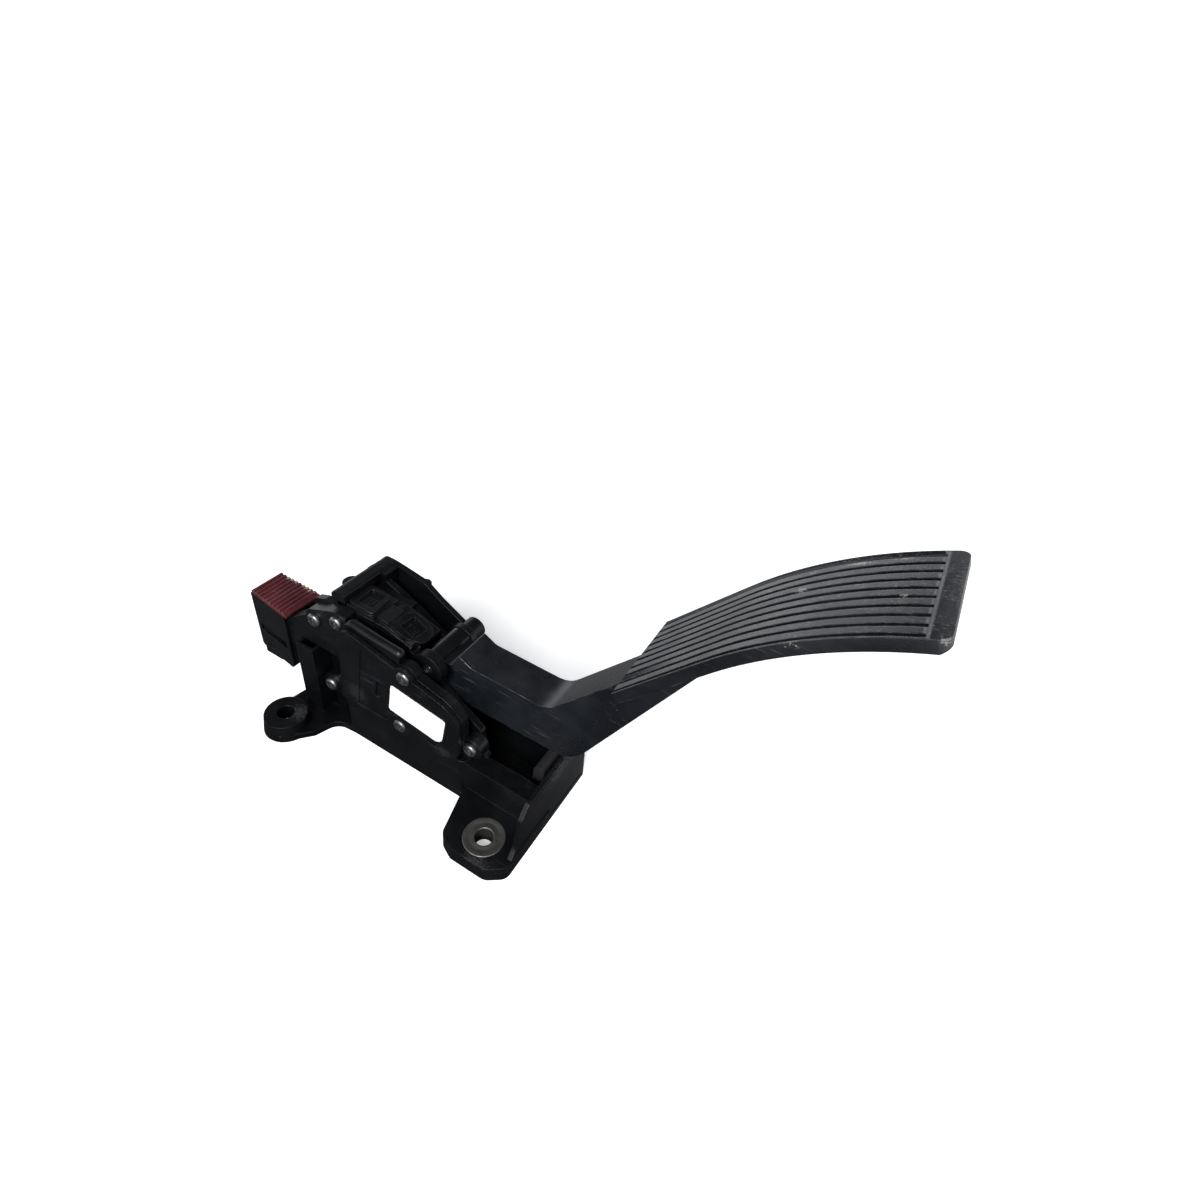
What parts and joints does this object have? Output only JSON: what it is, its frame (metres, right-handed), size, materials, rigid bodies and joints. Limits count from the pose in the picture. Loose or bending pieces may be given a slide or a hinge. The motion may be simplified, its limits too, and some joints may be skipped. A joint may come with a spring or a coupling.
{
  "type": "accelerator pedal sensor",
  "caption": "Car accelerator pedal: ribbed bracket with bolt ears, position sensor and plug socket on its side, return springs under a lid, and a hinged arm with a curved grooved pad.",
  "frame": {"origin": "axis of the front mounting hole on the mounting face", "axes": "+X from the plug socket towards the pad, +Y along the pedal's pin away from the sensor cover, +Z out of the mounting face"},
  "size_m": [0.2984, 0.0851, 0.2003],
  "materials": {
    "bracket_plastic": "fine moulded texture, scuffed",
    "housing_plastic": "fine moulded texture",
    "arm_plastic": "satin, scuffed on the pad",
    "red_plastic": "dull, ribs worn pale at their ends",
    "bush_steel": "turned, dulled",
    "screw_steel": "zinc plated",
    "spring_steel": "drawn wire",
    "bearing_bronze": "sintered",
    "contact_metal": "bright",
    "target_aluminium": "stamped",
    "board": "lacquered",
    "chip_plastic": "moulded",
    "slide_plastic": "natural",
    "liner_plastic": "smooth",
    "label_film": "blank film",
    "black_rubber": "matt",
    "grey_rubber": "matt"
  },
  "bodies": {
    "base": {"base_bracket": "bracket_plastic", "front_bush": "bush_steel", "spring_cover": "bracket_plastic", "sensor_housing": "housing_plastic", "cover_gasket": "black_rubber", "sensor_cover": "housing_plastic", "cover_screws": "screw_steel", "housing_screws": "screw_steel", "label": "label_film", "circuit_board": "board", "sensing_coil": "contact_metal", "board_chips": "chip_plastic", "contact_pins": "contact_metal", "pivot_pin": "screw_steel", "return_spring_outer": "spring_steel", "return_spring_inner": "spring_steel", "friction_liner": "liner_plastic", "stop_bumper": "grey_rubber", "rest_bumper": "black_rubber"},
    "pedal": {"pedal_arm": "arm_plastic", "hub_bushes": "bearing_bronze", "target_carrier": "housing_plastic", "target_plate": "target_aluminium", "spring_cup": "slide_plastic", "friction_shoe": "slide_plastic"},
    "lock": {"connector_lock": "red_plastic"}
  },
  "joints": [
    {"name": "pedal_pivot", "type": "hinge", "parent": "base", "child": "pedal", "pos_m": [-0.053, 0.03975, 0.071], "axis": [0, 1, 0], "range_deg": [0, 15], "stiffness_Nm_per_rad": 8.4, "springref_deg": -13.64, "deforming": ["return_spring_outer", "return_spring_inner"]},
    {"name": "lock_slide", "type": "slide", "parent": "base", "child": "lock", "axis": [-1, 0, 0], "range_m": [0, 0.004]}
  ]
}
